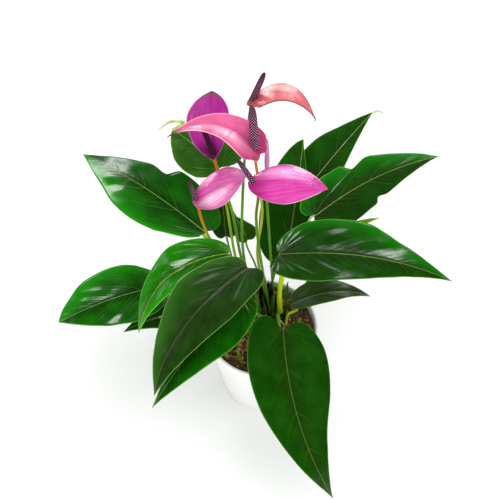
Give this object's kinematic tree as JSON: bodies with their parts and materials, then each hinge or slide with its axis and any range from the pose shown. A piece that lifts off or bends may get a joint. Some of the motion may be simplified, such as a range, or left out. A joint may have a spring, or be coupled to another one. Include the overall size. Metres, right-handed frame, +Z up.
{
  "type": "potted zizou anthurium",
  "caption": "Potted anthurium: dark green heart-shaped leaves and waxy pink-purple spathes with dark spadices on thin stalks, rooted in soil in a round tapered pot.",
  "frame": {"origin": "centre of the pot's flat underside", "axes": "+Z up along the pot's axis, -Y towards the viewer, +X to the viewer's right"},
  "size_m": [0.3984, 0.3509, 0.4104],
  "materials": {
    "leaf_blade": "satin, waxy",
    "petiole": "smooth",
    "spathe_salmon": "glossy, waxy",
    "spathe_pink": "glossy, waxy",
    "spathe_purple": "glossy, waxy",
    "spathe_mauve": "glossy, waxy",
    "spathe_magenta": "glossy, waxy",
    "young_spathe": "satin",
    "spadix": "matte, beaded",
    "flower_stalk": "smooth",
    "dry_sheath": "papery",
    "green_sheath": "smooth",
    "pot": "satin",
    "soil": "rough, coarse bark and peat"
  },
  "bodies": {
    "root": {"front_leaf_blade": "leaf_blade", "front_leaf_petiole": "petiole", "front_left_leaf_blade": "leaf_blade", "front_left_leaf_petiole": "petiole", "under_left_leaf_blade": "leaf_blade", "under_left_leaf_petiole": "petiole", "left_leaf_blade": "leaf_blade", "left_leaf_petiole": "petiole", "far_left_leaf_blade": "leaf_blade", "far_left_leaf_petiole": "petiole", "low_left_leaf_blade": "leaf_blade", "low_left_leaf_petiole": "petiole", "upper_left_leaf_blade": "leaf_blade", "upper_left_leaf_petiole": "petiole", "back_left_leaf_blade": "leaf_blade", "back_left_leaf_petiole": "petiole", "right_leaf_blade": "leaf_blade", "right_leaf_petiole": "petiole", "low_right_leaf_blade": "leaf_blade", "low_right_leaf_petiole": "petiole", "back_right_leaf_blade": "leaf_blade", "back_right_leaf_petiole": "petiole", "back_leaf_blade": "leaf_blade", "back_leaf_petiole": "petiole", "upper_right_leaf_blade": "leaf_blade", "upper_right_leaf_petiole": "petiole", "inner_dark_leaf_blade": "leaf_blade", "inner_dark_leaf_petiole": "petiole", "inner_small_leaf_blade": "leaf_blade", "inner_small_leaf_petiole": "petiole", "young_right_leaf_blade": "leaf_blade", "young_right_leaf_petiole": "petiole", "top_bloom_spathe": "spathe_salmon", "top_bloom_spadix": "spadix", "top_bloom_stalk": "flower_stalk", "centre_bloom_spathe": "spathe_pink", "centre_bloom_spadix": "spadix", "centre_bloom_stalk": "flower_stalk", "upright_bloom_spathe": "spathe_purple", "upright_bloom_spadix": "spadix", "upright_bloom_stalk": "flower_stalk", "left_bloom_spathe": "spathe_mauve", "left_bloom_spadix": "spadix", "left_bloom_stalk": "flower_stalk", "right_bloom_spathe": "spathe_magenta", "right_bloom_spadix": "spadix", "right_bloom_stalk": "flower_stalk", "bud_spathe": "young_spathe", "bud_stalk": "flower_stalk", "crown_sheath_1": "dry_sheath", "crown_sheath_2": "green_sheath", "sprout": "green_sheath", "pot": "pot", "soil": "soil"}
  },
  "joints": []
}
